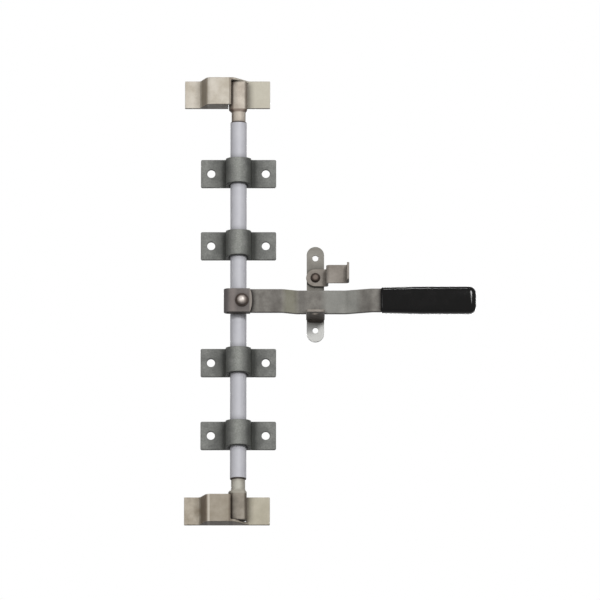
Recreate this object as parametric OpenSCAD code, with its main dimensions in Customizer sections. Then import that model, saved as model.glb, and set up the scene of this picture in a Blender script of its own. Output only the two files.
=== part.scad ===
// Bar latch for a trailer door: a turning bar in four guides, a cam and a keeper at each
// end, a swinging handle, and a catch with a padlock hasp.
// X runs along the closed handle, Y into the door, Z up. The door face is the plane Y = 0.

/* [Lock bar] */
// Outer diameter of the tube
tube_d = 22; // [20:0.5:24]
// Wall of the tube
tube_wall = 1.5; // [1.2:0.1:2.5]
// Length of the tube
tube_len = 492; // [440:1:520]
// Height of the middle of the bar above the middle of the guides
bar_rise = 3; // [-5:0.5:5]
// Gap round the tube in its guides
run_gap = 0.35; // [0.3:0.05:0.5]

/* [Guides] */
// Width of a guide over its flanges
guide_w = 102; // [96:1:116]
// Height of a guide at the door
guide_h = 39; // [30:1:46]
// Thickness of the flanges
guide_flange = 4; // [3:0.5:6]
// Metal between the tube and the door
guide_back = 2.8; // [2.6:0.1:5]
// Metal round the front of the tube
guide_wall = 5.9; // [4:0.1:7]
// How much shorter the crown is than the flanges, at each end
guide_draft = 2.2; // [0.5:0.1:4]
// Radius in the corner between saddle and flange
guide_fillet = 3; // [1:0.5:5]
// Radius of the corners of the flanges
guide_corner = 1.5; // [0.5:0.5:4]
// Depth of the flare at each end of the crown's bore
guide_mouth = 1.2; // [0.8:0.1:2]
// Diameter of the screw holes
guide_hole_d = 11; // [8:0.5:13]
// Distance between the two screw holes
guide_hole_span = 74; // [70:1:80]
// Height of the outer guides from the middle
guide_outer_z = 181.5; // [150:0.5:200]
// Height of the inner guides from the middle
guide_inner_z = 81; // [65:0.5:100]

/* [Keepers] */
// Sheet of the keepers
keeper_t = 5; // [3:0.5:5]
// Height of a keeper
keeper_h = 38; // [36:1:44]
// Free space between the door face and the bridge
keeper_room = 24; // [24:0.5:28]
// Width of the bridge
bridge_w = 31; // [24:1:36]
// Distance from the bar's axis to the open edge of the bridge
bridge_edge = 10; // [9.8:0.1:10.5]
// Width covered by the steep wall
steep_w = 9.5; // [6:0.5:14]
// Width of the flange beyond the steep wall
far_flange_w = 22.3; // [16:0.1:30]
// Distance from the bar's axis to the foot of the slope
slope_foot = 13; // [12:0.5:18]
// Width of the flange beyond the slope
near_flange_w = 29.7; // [22:0.1:36]
// Radius inside the bends of a keeper
keeper_bend = 3; // [1:0.5:4]
// Closed end of a keeper, beyond the tip of the cam
rim_h = 3.5; // [2:0.5:5]
// Gap round the turning cam head in its keeper
nose_gap = 0.35; // [0.3:0.05:0.6]

/* [Cams] */
// Reach of the nose from the axis
nose_reach = 13.2; // [12:0.1:13.3]
// Reach of the back of the cam head from the axis
head_back = 11.6; // [10:0.1:12]
// Thickness of the cam head, towards the door
head_t = 17; // [14:0.5:17]
// Radius of the long edges of the cam head
head_round = 6; // [5:0.1:7]
// Length of the cam head
head_len = 37.8; // [30:0.1:44]
// Length of the cone under the head
cone_len = 5; // [3:0.5:8]
// Length of the shank inside the tube
shank_in = 24; // [12:1:40]
// Gap between the shank and the tube
shank_fit = 0.05; // [0.02:0.01:0.1]
// Gap between the cam head and the rim of the keeper
rim_gap = 0.7; // [0.4:0.1:1.5]
// Shank that shows between the cone and the end of the tube
shank_show = 14.5; // [8:0.5:20]

/* [Hub] */
// Sheet of the hub strap
strap_t = 4; // [3:0.5:5]
// Height of the hub strap
strap_h = 32.5; // [30:0.5:36]
// Reach of the fold from the bar's axis
strap_fold = 19.6; // [17:0.1:24]
// Reach of the rounded end from the bar's axis
strap_end = 18.8; // [17:0.1:24]
// Radius of the rounded end
strap_end_r = 44; // [30:1:80]
// Gap on each side of the handle bar in the strap
strap_gap = 0.3; // [0.3:0.05:0.6]
// Leg of the fillet welds that hold the strap
hub_weld_leg = 3.6; // [2.5:0.1:5]
// Where those welds end on the strap, from the bar's axis
hub_weld_toe = 9.1; // [8.8:0.1:10]
// Distance of the rivet from the bar's axis
rivet_x = 4.9; // [3:0.1:6]
// Diameter of the rivet
rivet_d = 9; // [7:0.5:11]
// Diameter of the rivet's dome
rivet_head_d = 13.5; // [12:0.5:15]
// Height of the rivet's dome
rivet_head_h = 4.6; // [3:0.1:6]
// Diameter of the washer under the dome
rivet_washer_d = 18; // [16:0.5:21]
// Thickness of that washer
rivet_washer_t = 1.6; // [1:0.1:2.5]
// Gap between a rivet and the part that turns on it
pivot_fit = 0.08; // [0.02:0.01:0.1]

/* [Handle] */
// Thickness of the handle bar
bar_t = 6; // [5:0.5:8]
// Height of the handle bar
bar_h = 32; // [28:0.5:34]
// Height of the handle from the middle of the guides
handle_z = -2; // [-6:0.5:6]
// Play between the square end of the bar and the fold
bar_end_gap = 0.8; // [0.6:0.1:1.2]
// Where the bar starts to bend towards the door
joggle_in_x = 60; // [45:1:65]
// Where that bend ends
joggle_in_end = 79; // [72:1:85]
// How far the bar goes towards the door
joggle_in = 8.5; // [4:0.5:10]
// Where the bar starts to bend out again
joggle_out_x = 145; // [144:1:150]
// Where that bend ends
joggle_out_end = 180; // [160:1:185]
// How far the bar comes out again
joggle_out = 12; // [4:0.5:16]
// Radius inside the bends of the bar
bar_bend = 12; // [4:1:20]
// Where the grip starts
grip_x = 192.5; // [188:0.5:205]
// Length of the grip
grip_len = 128; // [100:1:140]
// Height of the grip
grip_h = 37; // [36:0.5:42]
// Thickness of the grip
grip_t = 15; // [12:0.5:20]
// Radius of the grip's long edges
grip_round = 5; // [3:0.5:6]
// Radius of the grip's corners
grip_corner = 9; // [5:0.5:14]
// Plastic beyond the end of the bar
grip_cap = 8; // [5:0.5:14]

/* [Catch] */
// Distance from the bar's axis to the middle of the catch
catch_x = 104; // [98:0.5:112]
// Width of the catch plate
catch_w = 23.5; // [22:0.5:26]
// Thickness of the catch plate
catch_t = 3; // [2.5:0.5:4]
// Height of the upper hole
catch_top_hole = 64; // [60:0.5:72]
// Height of the lower hole
catch_low_hole = -36; // [-44:0.5:-34]
// Plate beyond each hole
catch_ear = 16; // [12:0.5:18]
// Diameter of the screw holes
catch_hole_d = 8; // [6:0.5:9]
// Thickness of the shelf
shelf_t = 3.5; // [3:0.5:5]
// How far the shelf stands out from the door
shelf_out = 54; // [50:0.5:58]
// Radius of its corners
shelf_corner = 3; // [1:0.5:6]
// Gap between the handle bar and the shelf
shelf_gap = 0.3; // [0.3:0.1:0.6]
// Leg of the weld under the shelf
shelf_weld_leg = 3.5; // [2:0.1:5]
// Distance from the bar's front face to the middle of the padlock holes
lock_hole_out = 13.5; // [12:0.5:16]
// Diameter of the padlock holes
lock_hole_d = 10; // [8:0.5:11]

/* [Hasp] */
// Sheet of the hasp
hasp_t = 3; // [2.5:0.5:3]
// Width of the hasp
hasp_w = 25; // [22:0.5:25]
// Height of the hasp's rivet above the handle bar
hasp_rivet_up = 22; // [22:0.5:24]
// Drop from that rivet to the underside of the step
hasp_drop = 17.5; // [16:0.5:17.5]
// Gap between the bar and the front of the hasp
hasp_gap = 1; // [0.5:0.1:2]
// Height of the lip above the shelf
lip_rise = 8.8; // [7:0.2:12]
// How far the lip stands out from the door
lip_out = 50; // [46:0.5:54]
// Radius inside the bends of the hasp
hasp_bend = 2; // [1:0.5:3]
// Radius of the corners of the lip
hasp_corner = 3; // [1:0.5:5]
// Diameter of the hasp's rivet
hasp_rivet_d = 8; // [6:0.5:9]
// Diameter of its dome
hasp_head_d = 13; // [11:0.5:15]
// Height of its dome
hasp_head_h = 4; // [3:0.1:5]
// Diameter of the washer behind the hasp
hasp_washer_d = 17; // [16:0.5:20]
// Thickness of that washer
hasp_washer_t = 1.2; // [0.8:0.1:2]
// Play of the hasp between washer and dome
hasp_play = 0.3; // [0.3:0.05:0.5]
// Angle of the hasp at rest, where 0 is closed over the bar
hasp_angle = -90; // [-110:1:-76]

/* [Hidden] */
$fn = 64;
eps = 0.5;
bend_steps = 6;
// Welds begin this far from the line of touch and stop this far from the ends of their seams
weld_root = 1;
weld_inset = 2;

tube_r = tube_d / 2;
tube_in_r = tube_r - tube_wall;
bore_r = tube_r + run_gap;
axis_out = guide_back + bore_r;
saddle_r = bore_r + guide_wall;
crown_out = axis_out + saddle_r;

shank_r = tube_in_r - shank_fit;
rod_end = tube_len / 2;
head_top = keeper_h / 2 - rim_h - rim_gap;
head_foot = head_top - head_len;
keeper_z = rod_end + shank_show + cone_len - head_foot;

bridge_out = keeper_room + keeper_t;
bridge_far = bridge_edge + bridge_w;
steep_foot = bridge_far + steep_w;
keeper_far = steep_foot + far_flange_w;
keeper_near = slope_foot + near_flange_w;
keeper_path = [
    [-keeper_far, -keeper_t / 2], [-steep_foot, -keeper_t / 2],
    [-bridge_far, keeper_t / 2 - bridge_out], [keeper_bend - bridge_edge, keeper_t / 2 - bridge_out],
    [slope_foot, -keeper_t / 2], [keeper_near, -keeper_t / 2]
];

// The round that the cam head turns in, and where it leaves room for the near flange
nose_room = norm([nose_reach - head_round, head_t / 2 - head_round]) + head_round + nose_gap;
near_edge = sqrt(pow(nose_room, 2) - pow(axis_out - keeper_t, 2));

// Distances out from the door, through the hub
strap_back = axis_out + tube_r;
slot_back = strap_back + strap_t;
slot_front = slot_back + bar_t + 2 * strap_gap;
strap_front = slot_front + strap_t;
fold_r = (strap_front - strap_back) / 2;
fold_in_r = fold_r - strap_t;
fold_x = fold_r - strap_fold;
bar_out = (slot_back + slot_front) / 2;
bar_start = fold_x - sqrt(pow(fold_in_r, 2) - pow(bar_t / 2, 2)) + bar_end_gap;

// Sink for the tail of the rivet, in the back of the strap
sink_d = rivet_d + strap_t;
sink_h = strap_t / 2;

catch_bar_out = bar_out - joggle_in;
grip_out = catch_bar_out + joggle_out;
bar_tip = grip_x + grip_len - grip_cap;
bar_top = handle_z + bar_h / 2;
bar_foot = handle_z - bar_h / 2;
bar_front = catch_bar_out + bar_t / 2;
bar_path = [
    [bar_start, bar_out], [joggle_in_x, bar_out], [joggle_in_end, catch_bar_out],
    [joggle_out_x, catch_bar_out], [joggle_out_end, grip_out], [bar_tip, grip_out]
];

shelf_top = bar_foot - shelf_gap;
lock_hole_y = -(bar_front + lock_hole_out);
hasp_z = bar_top + hasp_rivet_up;
hasp_back = catch_t + hasp_washer_t + hasp_play;
hasp_face = bar_front + hasp_gap + hasp_t;
hasp_step_top = hasp_z - hasp_drop + hasp_t;
hasp_lip_foot = shelf_top + lip_rise;

function unit(v) = v / norm(v);
function left_of(v) = [-v[1], v[0]] / norm(v);
function heading(angle) = [cos(angle), sin(angle)];

// A rectangle with round corners, its middle at the origin
module round_rect(w, h, r) {
    square([w - 2 * r, h], center = true);
    square([w, h - 2 * r], center = true);
    for (sx = [-1, 1], sy = [-1, 1])
        translate([sx * (w / 2 - r), sy * (h / 2 - r)]) circle(r);
}

// A flat section drawn in X and Z, given a depth out from the door
module out_from_door(from, to) {
    translate([0, -from, 0]) rotate([90, 0, 0]) linear_extrude(to - from) children();
}

// A hole from the front to the back of what lies on the door
module drill(x, z, d, depth) {
    translate([x, eps, z]) rotate([90, 0, 0]) cylinder(d = d, h = depth + 2 * eps);
}

// One edge of a strip bent along a path, on the left (side 1) or the right (side -1).
// Each bend is an arc with the given radius inside.
function strip_edge(path, t, inside, side) = let(last = len(path) - 1, mid = inside + t / 2) concat(
    [path[0] + left_of(path[1] - path[0]) * side * t / 2],
    [for (i = [1 : last - 1]) let(
        a = unit(path[i] - path[i - 1]),
        b = unit(path[i + 1] - path[i]),
        turn = atan2(a[0] * b[1] - a[1] * b[0], a * b),
        way = turn > 0 ? 1 : -1,
        centre = path[i] - a * mid * tan(abs(turn) / 2) + left_of(a) * way * mid,
        start = atan2(-left_of(a)[1] * way, -left_of(a)[0] * way)
    ) for (k = [0 : bend_steps])
        centre + (mid - way * side * t / 2) * heading(start + turn * k / bend_steps)],
    [path[last] + left_of(path[last] - path[last - 1]) * side * t / 2]
);

// A strip of even thickness along a path of points
module strip(path, t, inside) {
    left = strip_edge(path, t, inside, 1);
    right = strip_edge(path, t, inside, -1);
    polygon(concat(left, [for (i = [len(right) - 1 : -1 : 0]) right[i]]));
}

// A dome of the given diameter and height, standing on Z = 0
module dome(d, h) {
    r = (pow(d / 2, 2) + pow(h, 2)) / (2 * h);
    rotate_extrude() intersection() {
        translate([0, h - r]) circle(r);
        square([d / 2, h]);
    }
}

// Corner fillet in plan, for a wall on the left and a floor below
module fillet_area(r) {
    difference() {
        square([r, r]);
        translate([r, r]) circle(r);
    }
}

module guide_plan() {
    translate([-guide_w / 2, -guide_flange]) square([guide_w, guide_flange]);
    translate([-saddle_r, -axis_out]) square([2 * saddle_r, axis_out]);
    translate([0, -axis_out]) circle(saddle_r, $fn = 96);
    for (side = [0, 1]) mirror([side, 0])
        translate([saddle_r, -guide_flange]) mirror([0, 1]) fillet_area(guide_fillet);
}

module guide_side() {
    half = guide_h / 2;
    polygon([
        [0, -half], [-guide_flange, -half], [-crown_out, guide_draft - half],
        [-crown_out, half - guide_draft], [-guide_flange, half], [0, half]
    ]);
}

module guide(z) {
    flare = guide_mouth + guide_draft;
    translate([0, 0, z]) difference() {
        intersection() {
            translate([0, 0, -guide_h / 2]) linear_extrude(guide_h) guide_plan();
            rotate([90, 0, 90]) linear_extrude(guide_w, center = true) guide_side();
            out_from_door(0, crown_out) round_rect(guide_w, guide_h, guide_corner);
        }
        translate([0, -axis_out, -guide_h / 2 - eps]) cylinder(r = bore_r, h = guide_h + 2 * eps);
        for (end = [0, 1]) mirror([0, 0, end])
            translate([0, -axis_out, guide_h / 2 - flare])
                cylinder(r1 = bore_r, r2 = bore_r + flare, h = flare);
        for (side = [-1, 1]) drill(side * guide_hole_span / 2, 0, guide_hole_d, guide_flange);
    }
}

// The hat section of a keeper in plan, filled in back to the door
module keeper_block() {
    polygon(concat(
        strip_edge(keeper_path, keeper_t, keeper_bend, -1), [[keeper_near, 0], [-keeper_far, 0]]
    ));
}

// A keeper is open to the bar beside the bridge, walled off under it, and closed beyond the cam
module keeper() {
    flat_x = slope_foot + keeper_bend + keeper_t / 2;
    translate([0, 0, keeper_h / 2 - rim_h]) linear_extrude(rim_h) keeper_block();
    translate([0, 0, -keeper_h / 2]) {
        linear_extrude(keeper_t) intersection() {
            keeper_block();
            translate([-keeper_far, -bridge_out]) square([keeper_far - nose_room, bridge_out]);
        }
        linear_extrude(keeper_h) {
            difference() {
                strip(keeper_path, keeper_t, keeper_bend);
                translate([-bridge_edge, -bridge_out - eps])
                    square([bridge_edge + flat_x, bridge_out + 2 * eps]);
            }
            translate([near_edge, -keeper_t]) square([keeper_near - near_edge, keeper_t]);
        }
    }
}

module upper_keeper() {
    color("tan") translate([0, 0, bar_rise + keeper_z]) keeper();
}

module lower_keeper() {
    color("tan") translate([0, 0, bar_rise - keeper_z]) mirror([0, 0, 1]) keeper();
}

module top_guide() {
    color("dimgray") guide(guide_outer_z);
}

module upper_guide() {
    color("dimgray") guide(guide_inner_z);
}

module lower_guide() {
    color("dimgray") guide(-guide_inner_z);
}

module bottom_guide() {
    color("dimgray") guide(-guide_outer_z);
}

module lock_rod() {
    color("lightsteelblue") translate([0, -axis_out, bar_rise]) difference() {
        cylinder(d = tube_d, h = tube_len, center = true);
        cylinder(r = tube_in_r, h = tube_len + 2 * eps, center = true);
    }
}

// One cam above the middle of the bar, with its nose behind the bridge
module cam() {
    cone_r = (nose_reach + head_back) / 2;
    foot_z = keeper_z + head_foot;
    neck_z = foot_z - cone_len;
    round_w = nose_reach + head_back;
    translate([(head_back - nose_reach) / 2, 0, foot_z])
        linear_extrude(head_len) round_rect(round_w, head_t, head_round);
    intersection() {
        translate([0, 0, neck_z]) cylinder(r1 = shank_r, r2 = cone_r, h = cone_len);
        translate([(head_back - nose_reach) / 2, 0, neck_z])
            linear_extrude(cone_len) round_rect(round_w, 2 * shank_r, head_round);
    }
    translate([0, 0, rod_end - shank_in]) cylinder(r = shank_r, h = neck_z - rod_end + shank_in);
}

module upper_cam() {
    color("tan") translate([0, -axis_out, bar_rise]) cam();
}

module lower_cam() {
    color("tan") translate([0, -axis_out, bar_rise]) mirror([0, 0, 1]) cam();
}

// A round bead on the end of the tube, against the shank
module cam_weld() {
    bead_r = tube_r - shank_r;
    translate([0, 0, rod_end]) rotate_extrude() intersection() {
        translate([shank_r, 0]) circle(bead_r);
        translate([shank_r, 0]) square(bead_r);
    }
}

module upper_cam_weld() {
    color("dimgray") translate([0, -axis_out, bar_rise]) cam_weld();
}

module lower_cam_weld() {
    color("dimgray") translate([0, -axis_out, bar_rise]) mirror([0, 0, 1]) cam_weld();
}

// The folded strap in plan: two leaves and the round fold
module strap_plan() {
    difference() {
        union() {
            translate([fold_x, -strap_front]) square([strap_end - fold_x, 2 * fold_r]);
            translate([fold_x, -bar_out]) circle(fold_r);
        }
        translate([fold_x, -slot_front]) square([strap_end - fold_x + eps, 2 * fold_in_r]);
        translate([fold_x, -bar_out]) circle(fold_in_r);
    }
}

module hub_strap() {
    color("gray") translate([0, 0, handle_z]) difference() {
        intersection() {
            translate([0, 0, -strap_h / 2]) linear_extrude(strap_h) strap_plan();
            translate([strap_end - strap_end_r, 0, 0]) rotate([90, 0, 0])
                cylinder(r = strap_end_r, h = strap_front + eps, $fn = 128);
        }
        drill(rivet_x, 0, rivet_d, strap_front);
        translate([rivet_x, -strap_back, 0]) rotate([90, 0, 0])
            cylinder(d1 = sink_d, d2 = rivet_d, h = sink_h);
    }
}

// Two fillets along the tube, each in the corner between the tube and the strap
module hub_welds() {
    color("dimgray") for (side = [0, 1]) mirror([side, 0, 0])
        translate([0, 0, handle_z]) linear_extrude(strap_h - 2 * weld_inset, center = true) difference() {
            polygon([
                [weld_root, -strap_back], [hub_weld_toe, -strap_back],
                [sqrt(pow(tube_r, 2) - pow(tube_r - hub_weld_leg, 2)), hub_weld_leg - strap_back]
            ]);
            translate([0, -axis_out]) circle(tube_r);
        }
}

module handle_rivet() {
    color("silver") translate([rivet_x, 0, handle_z]) rotate([90, 0, 0]) {
        translate([0, 0, strap_front + rivet_washer_t]) dome(rivet_head_d, rivet_head_h);
        translate([0, 0, strap_back])
            cylinder(d = rivet_d, h = strap_front - strap_back + rivet_washer_t);
        translate([0, 0, strap_back]) cylinder(d1 = sink_d, d2 = rivet_d, h = sink_h);
    }
}

module handle_rivet_washer() {
    color("dimgray") translate([rivet_x, -strap_front, handle_z]) rotate([90, 0, 0]) difference() {
        cylinder(d = rivet_washer_d, h = rivet_washer_t);
        translate([0, 0, -eps]) cylinder(d = rivet_d, h = rivet_washer_t + 2 * eps);
    }
}

module handle_bar() {
    color("gray") difference() {
        translate([0, 0, bar_foot]) linear_extrude(bar_h) mirror([0, 1]) strip(bar_path, bar_t, bar_bend);
        translate([rivet_x, -slot_back + eps, handle_z]) rotate([90, 0, 0])
            cylinder(r = rivet_d / 2 + pivot_fit, h = slot_front - slot_back + 2 * eps);
    }
}

module hand_grip() {
    middle = grip_x + grip_len / 2;
    color("black") difference() {
        intersection() {
            translate([middle, 0, handle_z]) out_from_door(grip_out - grip_t, grip_out + grip_t)
                round_rect(grip_len, grip_h, grip_corner);
            translate([middle, -grip_out, handle_z - grip_h / 2])
                linear_extrude(grip_h) round_rect(grip_len, grip_t, grip_round);
            translate([grip_x, -grip_out, handle_z]) rotate([90, 0, 90])
                linear_extrude(grip_len) round_rect(grip_t, grip_h, grip_round);
        }
        translate([grip_x - eps, -grip_out - bar_t / 2, bar_foot])
            cube([bar_tip - grip_x + eps, bar_t, bar_h]);
    }
}

module catch_plate() {
    high = catch_top_hole + catch_ear;
    low = catch_low_hole - catch_ear;
    end_r = catch_w / 2;
    color("gray") translate([catch_x, 0, 0]) difference() {
        out_from_door(0, catch_t) {
            translate([-end_r, low + end_r]) square([catch_w, high - low - catch_w]);
            for (z = [low + end_r, high - end_r]) translate([0, z]) circle(end_r);
        }
        drill(0, catch_top_hole, catch_hole_d, catch_t);
        drill(0, catch_low_hole, catch_hole_d, catch_t);
        drill(0, hasp_z, hasp_rivet_d, catch_t);
    }
}

module catch_shelf() {
    corner = shelf_corner;
    depth = shelf_out - catch_t;
    color("gray") translate([catch_x, -catch_t, shelf_top - shelf_t]) difference() {
        linear_extrude(shelf_t) {
            translate([-hasp_w / 2, corner - depth]) square([hasp_w, depth - corner]);
            translate([corner - hasp_w / 2, -depth]) square([hasp_w - 2 * corner, depth]);
            for (side = [-1, 1]) translate([side * (hasp_w / 2 - corner), corner - depth]) circle(corner);
        }
        translate([0, lock_hole_y + catch_t, -eps]) cylinder(d = lock_hole_d, h = shelf_t + 2 * eps);
    }
}

module catch_shelf_weld() {
    color("dimgray") translate([catch_x, -catch_t, shelf_top - shelf_t])
        rotate([90, 0, 90]) linear_extrude(hasp_w - 2 * weld_inset, center = true)
            polygon([[0, 0], [-shelf_weld_leg, 0], [0, -shelf_weld_leg]]);
}

// The hasp in section, Y across and Z up: flat top, step out, front, step out to the lip
module hasp_section() {
    half = hasp_t / 2;
    strip([
        [-hasp_back - half, hasp_z + hasp_w / 2], [-hasp_back - half, hasp_step_top - half],
        [half - hasp_face, hasp_step_top - half], [half - hasp_face, hasp_lip_foot + half],
        [-lip_out, hasp_lip_foot + half]
    ], hasp_t, hasp_bend);
}

module closed_hasp() {
    end_r = hasp_w / 2;
    difference() {
        intersection() {
            translate([-end_r, 0, 0]) rotate([90, 0, 90]) linear_extrude(hasp_w) hasp_section();
            out_from_door(0, lip_out) {
                translate([0, hasp_z]) circle(end_r);
                translate([-end_r, hasp_lip_foot]) square([hasp_w, hasp_z - hasp_lip_foot]);
            }
            translate([0, 0, hasp_lip_foot]) linear_extrude(hasp_z + end_r - hasp_lip_foot)
                translate([0, -lip_out / 2]) round_rect(hasp_w, lip_out, hasp_corner);
        }
        drill(0, hasp_z, hasp_rivet_d + 2 * pivot_fit, hasp_back + hasp_t);
        translate([0, lock_hole_y, hasp_lip_foot - eps]) cylinder(d = lock_hole_d, h = hasp_t + 2 * eps);
    }
}

module lock_hasp() {
    color("gray") translate([catch_x, 0, hasp_z]) rotate([0, hasp_angle, 0])
        translate([0, 0, -hasp_z]) closed_hasp();
}

module hasp_rivet() {
    color("gray") translate([catch_x, 0, hasp_z]) rotate([90, 0, 0]) {
        cylinder(d = hasp_rivet_d, h = hasp_back + hasp_t + hasp_play);
        translate([0, 0, hasp_back + hasp_t + hasp_play]) dome(hasp_head_d, hasp_head_h);
    }
}

module hasp_washer() {
    color("gray") translate([catch_x, -catch_t, hasp_z]) rotate([90, 0, 0]) difference() {
        cylinder(d = hasp_washer_d, h = hasp_washer_t);
        translate([0, 0, -eps]) cylinder(d = hasp_rivet_d, h = hasp_washer_t + 2 * eps);
    }
}

upper_keeper();
lower_keeper();
top_guide();
upper_guide();
lower_guide();
bottom_guide();
lock_rod();
upper_cam();
lower_cam();
upper_cam_weld();
lower_cam_weld();
hub_strap();
hub_welds();
handle_rivet();
handle_rivet_washer();
handle_bar();
hand_grip();
catch_plate();
catch_shelf();
catch_shelf_weld();
lock_hasp();
hasp_rivet();
hasp_washer();
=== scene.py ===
import math

import bmesh
import bpy
import numpy as np
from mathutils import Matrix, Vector, geometry


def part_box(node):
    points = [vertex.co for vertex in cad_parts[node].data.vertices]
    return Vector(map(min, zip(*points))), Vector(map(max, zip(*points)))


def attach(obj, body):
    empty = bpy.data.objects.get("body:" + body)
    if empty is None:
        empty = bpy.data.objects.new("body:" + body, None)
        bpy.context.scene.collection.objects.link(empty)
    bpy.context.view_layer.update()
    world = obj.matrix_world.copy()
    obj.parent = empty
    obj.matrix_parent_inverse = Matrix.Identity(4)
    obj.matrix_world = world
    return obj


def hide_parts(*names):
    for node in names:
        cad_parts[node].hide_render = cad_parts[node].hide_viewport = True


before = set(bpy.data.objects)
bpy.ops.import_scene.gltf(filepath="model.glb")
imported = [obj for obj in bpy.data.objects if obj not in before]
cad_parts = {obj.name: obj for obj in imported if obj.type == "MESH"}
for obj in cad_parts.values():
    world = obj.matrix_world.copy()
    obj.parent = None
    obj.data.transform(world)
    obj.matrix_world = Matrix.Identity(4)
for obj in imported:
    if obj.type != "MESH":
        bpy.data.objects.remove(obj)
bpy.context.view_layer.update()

# All sizes below are in millimetres, with Y into the door and Z up, as in the part's source.
# The hasp is drawn swung open to the right, as it rests; its joint turns it closed.
scene = bpy.context.scene
mm = 0.001
rimSteps = 4  # steps round the rolled edge of a sheet
flatReach = 1000  # half length of the line that an unfolded sheet follows

# Shapes shared by several pieces


def unit(vectors):
    return vectors / np.linalg.norm(vectors, axis=-1, keepdims=True)


def leftOf(vectors):
    return np.stack([-vectors[..., 1], vectors[..., 0]], -1)


def fillet(corners, radii, steps=6, closed=True):
    # Each corner becomes an arc: centre = corner - r tan(turn / 2) back along the line + r to the
    # inside; point = centre + r (cos, sin) as the angle runs evenly through the turn.
    corner = np.array(corners, float)
    if closed:
        corner = np.vstack([corner[-1:], corner, corner[:1]])
    before, after = unit(corner[1:-1] - corner[:-2]), unit(corner[2:] - corner[1:-1])
    radius = np.broadcast_to(np.array(radii, float), len(before))[:, None]
    cross = before[:, 0] * after[:, 1] - before[:, 1] * after[:, 0]
    turn = np.arctan2(cross, (before * after).sum(1))[:, None]
    inside = leftOf(before) * np.sign(turn)
    centre = corner[1:-1] - before * radius * np.tan(abs(turn) / 2) + inside * radius
    along = turn * np.linspace(0, 1, steps + 1)
    angle = np.arctan2(-inside[:, 1], -inside[:, 0])[:, None] + along
    points = centre[:, None] + radius[..., None] * np.stack([np.cos(angle), np.sin(angle)], -1)
    heading = np.arctan2(before[:, 1], before[:, 0])[:, None] + along
    points, heading = points.reshape(-1, 2), heading.reshape(-1)
    if not closed:
        points = np.vstack([corner[:1], points, corner[-1:]])
        heading = np.r_[heading[0], heading, heading[-1]]
    return points, heading


def circle(x, y, radius, steps=48):
    angle = np.linspace(0, 2 * np.pi, steps, endpoint=False)
    return np.stack([x + radius * np.cos(angle), y + radius * np.sin(angle)], 1)


def rectangle(x0, x1, y0, y1):
    # Corners of a rectangle, counterclockwise from its lower left
    return [(x0, y0), (x1, y0), (x1, y1), (x0, y1)]


def gridQuads(rows, columns, wrapRows=False, start=0):
    # One quad for each cell of a grid of points, row by row, closed round its columns
    r, c = np.meshgrid(np.arange(rows if wrapRows else rows - 1), np.arange(columns), indexing="ij")
    r2, c2 = (r + 1) % rows, (c + 1) % columns
    cells = [r * columns + c, r * columns + c2, r2 * columns + c2, r2 * columns + c]
    return start + np.stack(cells, -1).reshape(-1, 4)


def finishMesh(mesh, sharpAngle=35):
    # Merge what meets, turn every face outwards, and shade smooth up to the sharp angle
    work = bmesh.new()
    work.from_mesh(mesh)
    bmesh.ops.remove_doubles(work, verts=work.verts, dist=1e-6)
    bmesh.ops.dissolve_degenerate(work, edges=work.edges, dist=1e-7)
    bmesh.ops.recalc_face_normals(work, faces=work.faces)
    work.to_mesh(mesh)
    work.free()
    mesh.shade_smooth()
    if sharpAngle:
        mesh.set_sharp_from_angle(angle=math.radians(sharpAngle))
    return mesh


def gridMesh(grids, wrapRows=False, sharpAngle=35):
    # Grids of points, rows by columns, each closed round its columns
    points, faces, start = [], [], 0
    for grid in grids:
        rows, columns = grid.shape[:2]
        points.append(grid.reshape(-1, 3))
        faces.append(gridQuads(rows, columns, wrapRows, start))
        start += rows * columns
    mesh = bpy.data.meshes.new("grid")
    mesh.from_pydata((np.concatenate(points) * mm).tolist(), [], np.concatenate(faces).tolist())
    return finishMesh(mesh, sharpAngle)


def revolve(profile, centre, axis, columns=72):
    # Turned shape: point = centre + r (cos, sin) across the axis + height along it
    profile = np.array(profile, float)
    angle = np.linspace(0, 2 * np.pi, columns, endpoint=False)
    r, h = profile[:, :1], np.broadcast_to(profile[:, 1:], (len(profile), columns))
    across, up = r * np.cos(angle), r * np.sin(angle)
    grid = {"z": [across, up, h], "-y": [across, -h, up]}[axis]
    return np.stack(grid, -1) + np.array(centre, float)


def capped(rings):
    # Close both ends of a stack of rings on their middles
    ends = [np.broadcast_to(ring.mean(0), ring.shape)[None] for ring in (rings[0], rings[-1])]
    return np.concatenate([ends[0], rings, ends[1]])


def travelAlong(route):
    # Distance run at each point of a route: the sum of the steps before it
    return np.r_[0, np.cumsum(np.linalg.norm(np.diff(route, axis=0), axis=1))]


def upright(height):
    # Place of a sheet whose path lies in X and Y and whose width runs up Z
    return {"axes": [[1, 0, 0], [0, 1, 0], [0, 0, 1]], "origin": [0, 0, height]}


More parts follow.
